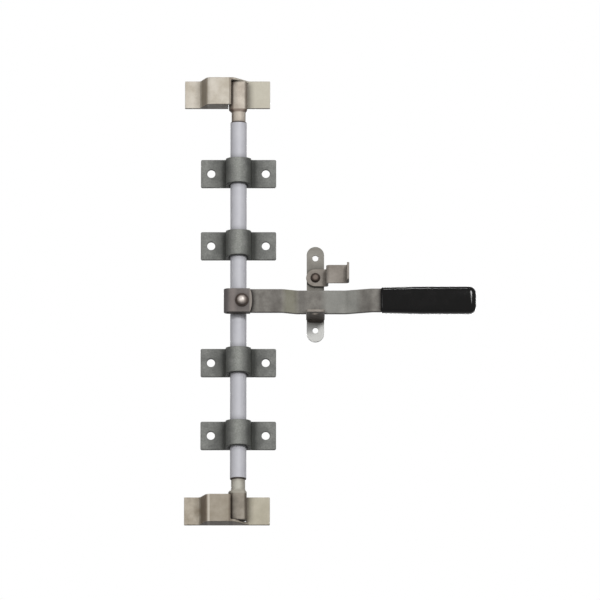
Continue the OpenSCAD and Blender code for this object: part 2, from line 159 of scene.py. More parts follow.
def pressedSheet(sheet, outline, place, holes=(), path=None):
    # A blank cut flat and then folded. Rim: point = loop + inset(a) inwards, height(a), with
    # inset = e (1 - sin a) and height = e (1 - cos a) up to each face. Fold: point = path(s) +
    # h across it, with w kept.
    thick, edge = sheet["thickness"], sheet["edge"]
    roll = np.linspace(0, np.pi / 2, rimSteps + 1)
    inset, rise = edge * (1 - np.sin(roll)), edge * (1 - np.cos(roll))
    inset = np.r_[inset, inset[::-1]][:, None, None]
    height = np.r_[rise, thick - rise[::-1]][:, None]
    points, faces, faceLoops, start = [], [], ([], []), 0
    for loop in [outline] + [hole[::-1] for hole in holes]:
        ahead = unit(np.roll(loop, -1, 0) - loop)
        inward = unit(leftOf(ahead + np.roll(ahead, 1, 0)))
        miter = np.maximum((inward * leftOf(ahead)).sum(1), 0.5)[:, None]
        flat = loop + inset * (inward / miter)
        ring = np.concatenate([flat, np.broadcast_to(height[..., None], flat.shape[:2] + (1,))], 2)
        points.append(ring.reshape(-1, 3))
        faces += gridQuads(len(ring), len(loop), start=start).tolist()
        for side, row in enumerate((0, len(ring) - 1)):
            first = start + row * len(loop)
            faceLoops[side].append((flat[row], np.arange(first, first + len(loop))))
        start += ring.shape[0] * ring.shape[1]
    rimFaces = len(faces)
    for side in faceLoops:
        index = np.concatenate([order for _, order in side])
        fill = geometry.tessellate_polygon([[Vector((*p, 0)) for p in flat] for flat, _ in side])
        faces += index[np.array(fill)].tolist()
    mesh = bpy.data.meshes.new("sheet")
    mesh.from_pydata(np.concatenate(points).tolist(), [], faces)
    if path:
        route, heading = path
        travel = travelAlong(route)
    else:
        travel, heading = np.array([-flatReach, flatReach]), np.zeros(2)
        route = np.stack([travel, heading], 1)
    work = bmesh.new()
    work.from_mesh(mesh)
    isFace = work.faces.layers.int.new("isFace")
    for face in work.faces:
        face[isFace] = face.index >= rimFaces
    for cut in travel[1:-1]:  # lines across the blank where it will bend
        bmesh.ops.bisect_plane(
            work, geom=work.verts[:] + work.edges[:] + work.faces[:], dist=1e-5,
            plane_co=(cut, 0, 0), plane_no=(1, 0, 0))
    for line in work.edges:
        line.smooth = len({face[isFace] for face in line.link_faces}) == 1
    for face in work.faces:
        face.smooth = True
    work.to_mesh(mesh)
    work.free()
    flat = np.empty(len(mesh.vertices) * 3)
    mesh.vertices.foreach_get("co", flat)
    s, w, h = flat.reshape(-1, 3).T
    h = h - thick / 2
    angle = np.interp(s, travel, heading)
    a = np.interp(s, travel, route[:, 0]) - h * np.sin(angle)
    b = np.interp(s, travel, route[:, 1]) + h * np.cos(angle)
    folded = np.stack([a, b, w], 1) @ np.array(place["axes"], float) + np.array(place["origin"], float)
    mesh.vertices.foreach_set("co", (folded * mm).ravel())
    mesh.update()
    turned = bmesh.new()
    turned.from_mesh(mesh)
    bmesh.ops.recalc_face_normals(turned, faces=turned.faces)
    turned.to_mesh(mesh)
    turned.free()
    return mesh


def addPiece(name, mesh, body, nodes, material):
    # The mesh as a piece that rides on a body and stands for nodes of the frame
    mesh.name = name
    piece = bpy.data.objects.new(name, mesh)
    scene.collection.objects.link(piece)
    mesh.materials.clear()
    mesh.materials.append(material)
    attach(piece, body)
    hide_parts(*nodes)


# Node groups


def colour(rgb):
    # Screen colour out of 255 to the linear colour that a shader takes
    c = np.array(rgb, float) / 255
    return (*np.where(c <= 0.04045, c / 12.92, ((c + 0.055) / 1.055) ** 2.4), 1.0)


def addNode(tree, kind, inputs=None, **settings):
    node = tree.nodes.new(kind)
    for key, value in settings.items():
        setattr(node, key, value)
    for key, value in (inputs or {}).items():
        if isinstance(value, bpy.types.NodeSocket):
            tree.links.new(value, node.inputs[key])
        else:
            node.inputs[key].default_value = value
    return node


def newGroup(name, inputs, outputs):
    tree = bpy.data.node_groups.new(name, "ShaderNodeTree")
    for label, value in inputs.items():
        socket = tree.interface.new_socket(label, in_out="INPUT", socket_type="NodeSocketFloat")
        socket.default_value = value
    for label in outputs:
        tree.interface.new_socket(label, in_out="OUTPUT", socket_type="NodeSocketFloat")
    return tree, tree.nodes.new("NodeGroupInput"), tree.nodes.new("NodeGroupOutput")


def mathNode(tree, operation, a, b=0.0, clamp=False):
    return addNode(tree, "ShaderNodeMath", {0: a, 1: b}, operation=operation, use_clamp=clamp).outputs[0]


def ramp(tree, value, low, high, start=0.0, end=1.0):
    # Straight from start to end as the value runs from low to high, and level beyond
    inputs = {0: value, 1: low, 2: high, 3: start, 4: end}
    return addNode(tree, "ShaderNodeMapRange", inputs).outputs[0]


def noiseNode(tree, vector, scale, detail):
    inputs = {"Vector": vector, "Scale": scale, "Detail": detail, "Roughness": surface["noiseRough"]}
    return addNode(tree, "ShaderNodeTexNoise", inputs).outputs["Fac"]


def mixColour(tree, factor, a, b):
    return addNode(tree, "ShaderNodeMix", {0: factor, 6: a, 7: b}, data_type="RGBA").outputs[2]


surface = {
    "noiseRough": 0.6, "cloudDetail": 5.0, "grainDetail": 3.0, "streakDetail": 4.0, "chipDetail": 4.0,
    "edgeGain": 9.0, "chipFrom": 0.36, "chipGain": 3.2, "cloudFrom": 0.34, "cloudTo": 0.66,
    "streakFrom": 0.3, "streakTo": 0.7, "streakHeight": 0.6, "undersideShadeBelow": -0.95, "undersideShadeAbove": -0.35}


def buildGrain():
    # Cloudy mottling, fine grain, and streaks drawn along Z or X by stretching the coordinates
    tree, given, out = newGroup(
        "metalGrain", {"Cloud size": 60.0, "Grain size": 900.0, "Along X": 1.0, "Along Z": 1.0},
        ["Cloud", "Grain", "Streak"])
    place = addNode(tree, "ShaderNodeTexCoord").outputs["Object"]
    stretch = addNode(tree, "ShaderNodeCombineXYZ",
                      {"X": given.outputs["Along X"], "Y": 1.0, "Z": given.outputs["Along Z"]})
    drawn = addNode(tree, "ShaderNodeVectorMath", {0: place, 1: stretch.outputs[0]},
                    operation="MULTIPLY").outputs[0]
    cloud = noiseNode(tree, place, given.outputs["Cloud size"], surface["cloudDetail"])
    grain = noiseNode(tree, place, given.outputs["Grain size"], surface["grainDetail"])
    streak = noiseNode(tree, drawn, given.outputs["Grain size"], surface["streakDetail"])
    for label, value in {"Cloud": cloud, "Grain": grain, "Streak": streak}.items():
        tree.links.new(value, out.inputs[label])
    return tree


def buildEdgeWear():
    # Where a rounded normal departs from the true one there is an edge; noise breaks it up
    tree, given, out = newGroup("edgeWear", {"Width": 0.0009, "Break up": 120.0}, ["Edge"])
    place = addNode(tree, "ShaderNodeTexCoord").outputs["Object"]
    rounded = addNode(tree, "ShaderNodeBevel", {"Radius": given.outputs["Width"]}, samples=4)
    true = addNode(tree, "ShaderNodeNewGeometry").outputs["Normal"]
    same = addNode(tree, "ShaderNodeVectorMath", {0: rounded.outputs[0], 1: true},
                   operation="DOT_PRODUCT").outputs["Value"]
    edge = mathNode(tree, "MULTIPLY", mathNode(tree, "SUBTRACT", 1.0, same), surface["edgeGain"], True)
    chips = noiseNode(tree, place, given.outputs["Break up"], surface["chipDetail"])
    chips = mathNode(tree, "SUBTRACT", chips, surface["chipFrom"])
    chips = mathNode(tree, "MULTIPLY", chips, surface["chipGain"], True)
    tree.links.new(mathNode(tree, "MULTIPLY", edge, chips, True), out.inputs["Edge"])
    return tree


def buildCrease():
    # Painted shade, with some dirt, where little of the sky is open
    tree, given, out = newGroup("creaseDirt", {"Reach": 0.02, "Strength": 1.0}, ["Dirt"])
    sky = addNode(tree, "ShaderNodeAmbientOcclusion", {"Distance": given.outputs["Reach"]}, samples=8)
    shut = mathNode(tree, "SUBTRACT", 1.0, sky.outputs["AO"])
    tree.links.new(mathNode(tree, "MULTIPLY", shut, given.outputs["Strength"], True), out.inputs["Dirt"])
    return tree


grainGroup, edgeGroup, creaseGroup = buildGrain(), buildEdgeWear(), buildCrease()


def useGroup(tree, group, inputs):
    node = tree.nodes.new("ShaderNodeGroup")
    node.node_tree = group
    for key, value in inputs.items():
        node.inputs[key].default_value = value
    return node.outputs


def addBands(tree, base, bands):
    # Stripes across an axis, each (axis, middle, half width, fade, colour, amount), sizes in mm; some
    # paint shade and highlights, others change the tone
    for axis, middle, span, fade, rgb, amount in bands:
        place = addNode(tree, "ShaderNodeTexCoord").outputs["Object"]
        along = addNode(tree, "ShaderNodeSeparateXYZ", {0: place}).outputs[axis]
        away = mathNode(tree, "ABSOLUTE", mathNode(tree, "SUBTRACT", along, middle * mm))
        near = ramp(tree, away, span * mm, (span + fade) * mm, amount, 0.0)
        base = mixColour(tree, near, base, colour(rgb))
    return base


def addSpots(tree, base, spots):
    # Round patches, each (x, z, radius, colour, amount), sizes in mm; they fade from half the radius and
    # paint highlights
    for x, z, radius, rgb, amount in spots:
        place = addNode(tree, "ShaderNodeTexCoord").outputs["Object"]
        flat = addNode(tree, "ShaderNodeVectorMath", {0: place, 1: (1, 0, 1)},
                       operation="MULTIPLY").outputs[0]
        away = addNode(tree, "ShaderNodeVectorMath", {0: flat, 1: (x * mm, 0, z * mm)},
                       operation="DISTANCE").outputs["Value"]
        near = ramp(tree, away, radius * 0.5 * mm, radius * mm, amount, 0.0)
        base = mixColour(tree, near, base, colour(rgb))
    return base


def makeMetal(name, values):
    # Mottled base colour, bands and spots that paint shade and highlights or change the tone, brighter
    # worn edges, painted shade with some dirt in the creases and painted shade on undersides, a fine bump
    material = bpy.data.materials.new(name)
    material.use_nodes = True
    tree = material.node_tree
    shader = tree.nodes["Principled BSDF"]
    grain = useGroup(tree, grainGroup, {
        "Cloud size": values["cloudSize"], "Grain size": values["grainSize"],
        "Along X": values["drawn"][0], "Along Z": values["drawn"][1]})
    edge = useGroup(tree, edgeGroup, {"Width": values["edgeWidth"] * mm})["Edge"]
    # Painted shade, with some dirt, in the creases
    shadeAndDirt = useGroup(tree, creaseGroup, {
        "Reach": values["shadeAndDirtReach"] * mm, "Strength": values["shadeAndDirt"]})["Dirt"]
    cloud = ramp(tree, grain["Cloud"], surface["cloudFrom"], surface["cloudTo"])
    base = mixColour(tree, cloud, colour(values["dark"]), colour(values["light"]))
    base = addBands(tree, base, values.get("bands", ()))
    base = addSpots(tree, base, values.get("spots", ()))
    streak = ramp(tree, grain["Streak"], surface["streakFrom"], surface["streakTo"], -1.0, 1.0)
    shade = mathNode(tree, "ADD", mathNode(tree, "MULTIPLY", streak, values["streak"]), 1.0)
    base = addNode(tree, "ShaderNodeVectorMath", {0: base, "Scale": shade}, operation="SCALE").outputs[0]
    edge = mathNode(tree, "MULTIPLY", edge, values["wear"])
    base = mixColour(tree, edge, base, colour(values["bright"]))
    # Painted shade on faces that point down, joined with the painted shade in the creases
    normal = addNode(tree, "ShaderNodeNewGeometry").outputs["Normal"]
    down = addNode(tree, "ShaderNodeSeparateXYZ", {0: normal}).outputs["Z"]
    undersideShade = ramp(tree, down, surface["undersideShadeBelow"], surface["undersideShadeAbove"], values["undersideShade"], 0.0)
    shadeAndDirt = mathNode(tree, "MAXIMUM", shadeAndDirt, undersideShade)
    base = mixColour(tree, shadeAndDirt, base, colour(values["crease"]))
    rough = mathNode(tree, "ADD", mathNode(tree, "MULTIPLY", grain["Cloud"], values["roughSpread"]),
                     values["rough"] - values["roughSpread"] / 2)
    metal = mathNode(tree, "MULTIPLY", mathNode(tree, "SUBTRACT", 1.0, shadeAndDirt), values["metallic"])
    drawn = mathNode(tree, "MULTIPLY", grain["Streak"], surface["streakHeight"])
    height = mathNode(tree, "ADD", grain["Grain"], drawn)
    bump = addNode(tree, "ShaderNodeBump", {"Height": height, "Distance": values["bump"] * mm,
                                            "Strength": 1.0}).outputs[0]
    for key, value in {"Base Color": base, "Roughness": rough, "Metallic": metal, "Normal": bump}.items():
        tree.links.new(value, shader.inputs[key])
    shader.inputs["Specular IOR Level"].default_value = values["specular"]
    return material


# In each finish the crease strength and reach set painted shade, with some dirt, in the creases, and the
# underside amount sets painted shade on faces that point down.
plain = {
    "cloudSize": 55, "grainSize": 900, "drawn": (1, 1), "edgeWidth": 0.9, "shadeAndDirtReach": 14, "shadeAndDirt": 0.5,
    "undersideShade": 0.75, "streak": 0.05, "wear": 0.5, "rough": 0.5, "roughSpread": 0.16, "metallic": 0.1,
    "specular": 0.12, "bump": 0.05}

finishes = {
    "zincKeeper": plain | {
        "dark": (186, 177, 162), "light": (212, 205, 193), "bright": (236, 230, 220),
        "crease": (52, 42, 34), "edgeWidth": 1.7, "wear": 0.9, "drawn": (6, 0.6), "streak": 0.08,
        "shadeAndDirt": 1.2, "shadeAndDirtReach": 12,
        # Painted shade on the steep left wall at -46 mm and at the bridge's right end at -10 mm; the band
        # at 29 mm changes the colour of the right flange.
        "bands": [("X", -46, 3.2, 1.5, (140, 128, 112), 0.8), ("X", -10, 2, 1.5, (112, 99, 87), 0.7),
                  ("X", 29, 14, 4, (192, 188, 172), 0.7)]},
    "dullKeeper": plain | {
        "dark": (148, 137, 121), "light": (190, 181, 166), "bright": (226, 218, 205),
        "crease": (48, 39, 32), "edgeWidth": 1.7, "wear": 0.9, "drawn": (6, 0.6), "streak": 0.09,
        "shadeAndDirt": 1.2, "shadeAndDirtReach": 12,
        # Painted shade on the steep left wall at -46 mm and at the bridge's right end at -10 mm, and a
        # painted highlight along the bridge's left edge at -39.6 mm; the bands at -26 and 29 mm change the
        # colour of the bridge and the right flange.
        "bands": [("X", -46, 3.2, 1.5, (112, 97, 82), 0.8), ("X", -10, 2, 1.5, (96, 84, 72), 0.7),
                  ("X", -26, 12, 3, (152, 143, 129), 0.5), ("X", 29, 14, 4, (196, 191, 172), 0.6),
                  ("X", -39.6, 0.7, 1.3, (222, 214, 201), 0.8)]},
    "forgedCam": plain | {
        "dark": (178, 167, 154), "light": (212, 203, 190), "bright": (236, 229, 218),
        "crease": (46, 38, 32), "bump": 0.08, "shadeAndDirt": 1.6, "shadeAndDirtReach": 10,
        # Painted shade down both sides of the head and in a line under it at 266 mm.
        "bands": [("X", -11, 3, 2, (92, 79, 68), 0.75), ("X", 12, 2.2, 2, (92, 79, 68), 0.75),
                  ("Z", 266, 1.6, 1.2, (104, 86, 76), 0.7)]},
    "dullCam": plain | {
        "dark": (136, 129, 118), "light": (166, 158, 146), "bright": (208, 200, 188),
        "crease": (42, 35, 30), "bump": 0.08, "shadeAndDirt": 1.6, "shadeAndDirtReach": 10,
        # Painted shade down both sides of the head; the band at -254 mm makes the shank lighter, and the
        # spot paints a highlight on its front.
        "bands": [("X", -11, 3, 2, (76, 66, 56), 0.75), ("X", 12, 2.2, 2, (76, 66, 56), 0.75),
                  ("Z", -254, 9, 2, (180, 176, 164), 0.7)],
        "spots": [(-0.5, -253, 9, (212, 211, 200), 0.45)]},
    # The band at -1 mm paints a highlight down the crown's middle and those at -17 and 17.5 mm paint shade
    # on its flanks; the strong crease setting paints shade where the crown meets the flanges.
    "castGuide": plain | {
        "dark": (112, 113, 110), "light": (136, 137, 133), "bright": (160, 161, 156),
        "crease": (40, 41, 38), "cloudSize": 80, "grainSize": 600, "bump": 0.3, "streak": 0.2,
        "shadeAndDirt": 2.0, "shadeAndDirtReach": 26,
        "bands": [("X", -1, 2, 7, (158, 160, 154), 0.55), ("X", -17, 3, 5, (58, 60, 56), 0.5),
                  ("X", 17.5, 4, 5, (48, 50, 46), 0.6)]},
    # The strong crease setting paints shade on the tube by the guides' mouths and the hub.
    "tubeSteel": plain | {
        "dark": (202, 202, 208), "light": (210, 210, 215), "bright": (218, 218, 222),
        "crease": (88, 88, 90), "drawn": (4, 0.4), "streak": 0.02, "bump": 0.01, "metallic": 0.05,
        "shadeAndDirt": 0.9, "shadeAndDirtReach": 8},
    # The strong, short crease setting paints a shade line, with some dirt, beside the strap's end; the
    # bands at 50, 70, 86 and 172 mm paint the light and shade of the bar's bends, and the one at 139 mm
    # makes the bar lighter right of the catch.
    "barSteel": plain | {
        "dark": (98, 94, 89), "light": (139, 136, 130), "bright": (160, 156, 149),
        "crease": (40, 36, 33), "drawn": (3, 0.5), "streak": 0.12, "shadeAndDirt": 3.2, "shadeAndDirtReach": 7,
        "bands": [("X", 50, 3, 9, (88, 84, 80), 0.5), ("X", 86, 2, 6, (90, 87, 83), 0.5),
                  ("X", 70, 4, 8, (150, 148, 130), 0.55), ("X", 139, 19, 10, (150, 151, 146), 0.55),
                  ("X", 172, 2, 7, (104, 102, 98), 0.4)]},
    # The band at -17 mm paints shade on the strap's rounded fold and the one at 16.8 mm paints a highlight
    # along its curved end.
    "hubSteel": plain | {
        "dark": (104, 98, 95), "light": (122, 116, 113), "bright": (172, 165, 158),
        "crease": (40, 34, 31), "drawn": (3, 0.5), "streak": 0.12, "shadeAndDirt": 1.5, "shadeAndDirtReach": 8,
        "bands": [("X", -17, 2.5, 3, (84, 80, 82), 0.6), ("X", -7, 1, 5, (140, 131, 127), 0.5),
                  ("X", 16.8, 0.8, 1.6, (158, 150, 142), 0.7)]},
    # The band at -42 mm paints light on the lower ear.
    "catchSteel": plain | {
        "dark": (126, 122, 115), "light": (150, 147, 140), "bright": (196, 194, 188),
        "crease": (40, 36, 32), "shadeAndDirt": 1.2, "bands": [("Z", -42, 11, 10, (214, 214, 211), 0.9)]},
    "haspSteel": plain | {
        "dark": (132, 125, 117), "light": (160, 153, 145), "bright": (206, 200, 190),
        "crease": (44, 38, 34)},
    # The spot paints a highlight on the dome.
    "rivetSteel": plain | {
        "dark": (112, 99, 92), "light": (132, 119, 111), "bright": (150, 140, 132),
        "spots": [(4.4, -1.6, 5.6, (206, 196, 188), 1.0)], "crease": (44, 36, 32),
        "rough": 0.42, "metallic": 0.2, "specular": 1.0, "shadeAndDirt": 1.5, "shadeAndDirtReach": 6},
    # The spot paints a highlight on the hasp rivet's dome.
    "darkSteel": plain | {
        "dark": (58, 49, 44), "light": (76, 66, 60), "bright": (112, 102, 95),
        "spots": [(104, 36, 4.6, (122, 110, 102), 0.9)], "crease": (24, 20, 18)},
    "weldMetal": plain | {
        "dark": (66, 60, 55), "light": (98, 91, 84), "bright": (140, 132, 122),
        "crease": (26, 23, 20), "cloudSize": 220, "bump": 0.12, "rough": 0.5},
}
finish = {name: makeMetal(name, values) for name, values in finishes.items()}


dip = {"dark": (5, 5, 5), "light": (18, 17, 16), "cloudSize": 45.0, "grainSize": 260.0,
       "cloudFrom": 0.3, "cloudTo": 0.7, "roughLow": 0.04, "roughHigh": 0.12, "lumps": 6.0, "bump": 0.02,
       "specular": 0.14}


def makeGrip():
    # Dipped black plastic: nearly black, clouded a little, glossy, softly lumpy
    material = bpy.data.materials.new("dippedGrip")
    material.use_nodes = True
    tree = material.node_tree
    shader = tree.nodes["Principled BSDF"]
    grain = useGroup(tree, grainGroup, {"Cloud size": dip["cloudSize"], "Grain size": dip["grainSize"]})
    base = mixColour(tree, grain["Cloud"], colour(dip["dark"]), colour(dip["light"]))
    rough = ramp(tree, grain["Cloud"], dip["cloudFrom"], dip["cloudTo"], dip["roughLow"], dip["roughHigh"])
    lumps = mathNode(tree, "MULTIPLY", grain["Cloud"], dip["lumps"])
    height = mathNode(tree, "ADD", lumps, grain["Grain"])
    bump = addNode(tree, "ShaderNodeBump", {"Height": height, "Distance": dip["bump"] * mm}).outputs[0]
    for key, value in {"Base Color": base, "Roughness": rough, "Normal": bump}.items():
        tree.links.new(value, shader.inputs[key])
    shader.inputs["Specular IOR Level"].default_value = dip["specular"]
    return material


finish["dippedGrip"] = makeGrip()
print("materials:", ", ".join(finish))

# Tube, cams and the beads that join them

bar = {"axisOut": 14.15, "middle": 3, "radius": 11, "inside": 9.5, "half": 246, "chamfer": 0.4,
       "plainEnd": 20, "rings": 12, "columns": 96}
r, inside, half, lip = bar["radius"], bar["inside"], bar["half"], bar["chamfer"]
belt = half - bar["plainEnd"]
tubeProfile = [
    (inside, -half + lip), (inside + lip, -half), (r - lip, -half), (r, -half + lip),
    *[(r, z) for z in np.linspace(-belt, belt, bar["rings"])],
    (r, half - lip), (r - lip, half), (inside + lip, half), (inside, half - lip)]
tube = revolve(tubeProfile, (0, -bar["axisOut"], bar["middle"]), "z", bar["columns"])
addPiece("lockTube", gridMesh([tube], wrapRows=True), "turning_bar", ["lock_rod"],
         finish["tubeSteel"])

cam = {"shank": 9.45, "shankIn": 24, "show": 14.5, "cone": 5, "length": 37.8, "nose": 13.2,
       "back": 11.6, "thick": 17, "round": 6, "tip": 0.8, "draftWide": 0.18, "draftThick": 0.3,
       "perQuarter": 12}


def camRings(way):
    # Round-cornered rectangle up the axis: point = corner centre + radius (cos, sin). Up the cone
    # each size runs from the shank's to the head's by g^2 (3 - 2 g); the head narrows evenly by
    # its draft, and its tip by t (1 - cos a) while it rises by t sin a.
    shank, wide, thick = cam["shank"], (cam["nose"] + cam["back"]) / 2, cam["thick"] / 2
    foot = bar["half"] + cam["show"] + cam["cone"]
    grow, share = np.linspace(0, 1, 7), np.linspace(0.1, 0.95, 8)
    tipTurn = np.linspace(0, np.pi / 2, 6)[1:]
    z = np.r_[bar["half"] - cam["shankIn"], foot - cam["cone"] * (1 - grow),
              foot + share * cam["length"], foot + cam["length"] - cam["tip"] * (1 - np.sin(tipTurn))]
    ease = np.r_[0, grow * grow * (3 - 2 * grow), 1 + 0 * share, 1 + 0 * tipTurn]
    draft = np.r_[0, 0 * grow, share, share[-1] + 0 * tipTurn]
    inset = np.r_[0, 0 * grow, 0 * share, cam["tip"] * (1 - np.cos(tipTurn))]
    halfWide = shank + (wide - shank) * ease - cam["draftWide"] * draft - inset
    halfThick = shank + (thick - shank) * ease - cam["draftThick"] * draft - inset
    radius = shank + (cam["round"] - shank) * ease - inset
    shift = (cam["back"] - cam["nose"]) / 2 * ease
    angle = ((np.arange(4)[:, None] + np.linspace(0, 1, cam["perQuarter"])) * np.pi / 2).ravel()
    signX, signY = (np.repeat(sign, cam["perQuarter"]) for sign in ([1, -1, -1, 1], [1, 1, -1, -1]))
    z, halfWide, halfThick, radius, shift = (a[:, None] for a in (z, halfWide, halfThick, radius, shift))
    x = signX * (halfWide - radius) + radius * np.cos(angle) + shift
    y = signY * (halfThick - radius) + radius * np.sin(angle) - bar["axisOut"]
    return capped(np.stack([x, y, np.broadcast_to(z * way + bar["middle"], x.shape)], -1))


endBead = {"swell": 0.06, "scales": 22}


def beadRings(way):
    # Round weld bead on the tube's end: quarter circle across, swelling a little in scales round it
    turn = np.linspace(0, 2 * np.pi, bar["columns"], endpoint=False)
    across = np.linspace(0, np.pi / 2, 7)[:, None]
    scales = abs(np.sin(turn * endBead["scales"] / 2))
    bead = (bar["radius"] - cam["shank"]) * (1 - endBead["swell"] * (1 - scales))
    root = cam["shank"] + 0 * turn[None]
    out = np.concatenate([root, cam["shank"] + bead * np.cos(across), root])
    rise = np.concatenate([0 * root, bead * np.sin(across), 0 * root])
    z = bar["middle"] + way * (bar["half"] + rise)
    return np.stack([out * np.cos(turn), out * np.sin(turn) - bar["axisOut"], z], -1)


for label, way, steel in (("upper", 1, "forgedCam"), ("lower", -1, "dullCam")):
    addPiece(label + "Cam", gridMesh([camRings(way)], sharpAngle=60), "turning_bar",
             [label + "_cam"], finish[steel])
    addPiece(label + "Bead", gridMesh([beadRings(way)], sharpAngle=60), "turning_bar",
             [label + "_cam_weld"], finish["weldMetal"])
print("tube and cams done")

# Keepers and guides: forged or cast, so each edge is soft

casting = {"voxel": 0.6, "relax": 7, "depth": 0.07, "phase": 1.7}
forging = {"voxel": 0.55, "relax": 4, "depth": 0.03, "phase": 0.8}
ripple = {"alongX": 310, "alongZ": 270, "aslant": 520}  # in radians for each metre


def softMesh(node, voxel, relax):
    # The solid's own shape, meshed evenly and relaxed: each point moves halfway to the mean of
    # its neighbours, over and over.
    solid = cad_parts[node]
    copy = bpy.data.objects.new(node + "Blank", solid.data.copy())
    scene.collection.objects.link(copy)
    finishMesh(copy.data, 0)
    shrink = copy.modifiers.new("even", "REMESH")
    shrink.mode, shrink.voxel_size = "VOXEL", voxel * mm
    even = bpy.data.meshes.new_from_object(copy.evaluated_get(bpy.context.evaluated_depsgraph_get()))
    bpy.data.objects.remove(copy)
    p = np.empty(len(even.vertices) * 3)
    even.vertices.foreach_get("co", p)
    p = p.reshape(-1, 3)
    e = np.empty(len(even.edges) * 2, int)
    even.edges.foreach_get("vertices", e)
    e = e.reshape(-1, 2)
    count = np.bincount(e.ravel(), minlength=len(p))[:, None]
    for _ in range(relax):
        near = np.stack([
            np.bincount(e[:, 0], p[e[:, 1], k], len(p)) + np.bincount(e[:, 1], p[e[:, 0], k], len(p))
            for k in range(3)], 1)
        p = (p + near / count) / 2
    return even, p


def rippled(p, phase, depth):
    # Each point moves towards the piece's middle on the tube's axis, by depth times
    # (3 + sine of x + sine of z + sine of x + y) / 6, so by nothing up to the whole depth.
    x, y, z = p.T
    wave = np.sin(x * ripple["alongX"] + phase) + np.sin(z * ripple["alongZ"] + 2 * phase)
    wave = wave + np.sin((y + x) * ripple["aslant"] + phase)
    outward = unit(p - np.array([0, -bar["axisOut"] * mm, z.mean()]))
    return p - outward * (wave[:, None] + 3) / 6 * depth * mm


def finishSoft(mesh, label, points, node, material):
    mesh.vertices.foreach_set("co", points.ravel())
    mesh.update()
    mesh.shade_smooth()
    addPiece(label, mesh, "door_side", [node], material)


for label, node, material in (("upperKeeper", "upper_keeper", "zincKeeper"),
                              ("lowerKeeper", "lower_keeper", "dullKeeper")):
    even, relaxed = softMesh(node, forging["voxel"], forging["relax"])
    points = rippled(relaxed, forging["phase"], forging["depth"])
    finishSoft(even, label, points, node, finish[material])
print("keepers done")

# The four guides are one casting, each with a ripple of its own
even, relaxed = softMesh("top_guide", casting["voxel"], casting["relax"])
top = relaxed[:, 2].mean()
for number, (label, node) in enumerate(
        (("topGuide", "top_guide"), ("upperGuide", "upper_guide"),
         ("lowerGuide", "lower_guide"), ("bottomGuide", "bottom_guide"))):
    low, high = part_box(node)
    moved = rippled(relaxed - np.array([0, 0, top]), casting["phase"] * number, casting["depth"])
    moved[:, 2] += (low.z + high.z) / 2
    finishSoft(even.copy(), label, moved, node, finish["castGuide"])
print("guides done")

# Hub: folded strap, rivet, washer and welds

hub = {"thickness": 4, "edge": 0.7, "height": 32.5, "fold": 19.6, "end": 18.8, "endRadius": 44,
       "back": 25.15, "front": 39.75, "middle": -2, "rivetX": 4.9}
t = hub["thickness"]
rear, fore, left = -hub["back"] - t / 2, -hub["front"] + t / 2, t / 2 - hub["fold"]
strapPath = fillet([(hub["end"], rear), (left, rear), (left, fore), (hub["end"], fore)],
                   (rear - fore) / 2, steps=14, closed=False)
strapEnd = travelAlong(strapPath[0])[-1]
w = np.linspace(-hub["height"] / 2, hub["height"] / 2, 25)
sag = hub["endRadius"] - np.sqrt(hub["endRadius"] ** 2 - w ** 2)
strapOutline = np.concatenate([np.stack([strapEnd - sag, w], 1), np.stack([sag, w], 1)[::-1]])
addPiece("hubStrap", pressedSheet(hub, strapOutline, upright(hub["middle"]), path=strapPath),
         "turning_bar", ["hub_strap"], finish["hubSteel"])


def domeProfile(radius, height, start, flat=0.0, steps=10):
    # Head of a rivet: r = R cos(a), h = H sin(a), its top flattened where asked
    a = np.linspace(0, np.pi / 2, steps)
    return np.stack([radius * np.cos(a), start + height * np.minimum(np.sin(a), 1 - flat)], 1)


rivet = {"radius": 4.5, "sink": 6.5, "sinkDeep": 2, "head": 6.75, "headHigh": 4.6, "headEdge": 0.3,
         "washer": 9, "washerThick": 1.6, "washerEdge": 0.4, "washerRound": 0.6}
base = hub["front"] + rivet["washerThick"]
centre = (hub["rivetX"], 0, hub["middle"])
rivetProfile = [
    (0, hub["back"]), (rivet["sink"], hub["back"]), (rivet["radius"], hub["back"] + rivet["sinkDeep"]),
    (rivet["radius"], base), (rivet["head"] - rivet["headEdge"], base),
    *domeProfile(rivet["head"], rivet["headHigh"], base)]
addPiece("hubRivet", gridMesh([revolve(rivetProfile, centre, "-y")], sharpAngle=50),
         "turning_bar", ["handle_rivet"], finish["rivetSteel"])
low, high, bore, rim = hub["front"], base, rivet["radius"], rivet["washer"]
edge, soft = rivet["washerEdge"], rivet["washerRound"]
washerProfile = [(bore, low), (rim - edge, low), (rim, low + edge), (rim, high - soft),
                 (rim - soft / 3, high - soft / 3), (rim - soft, high), (bore, high)]
addPiece("hubWasher", gridMesh([revolve(washerProfile, centre, "-y")], wrapRows=True),
         "turning_bar", ["handle_rivet_washer"], finish["darkSteel"])


fillWeld = {"bulge": 0.25, "valley": 0.6, "perScale": 8, "across": 9, "endPower": 12, "endLeast": 0.05}


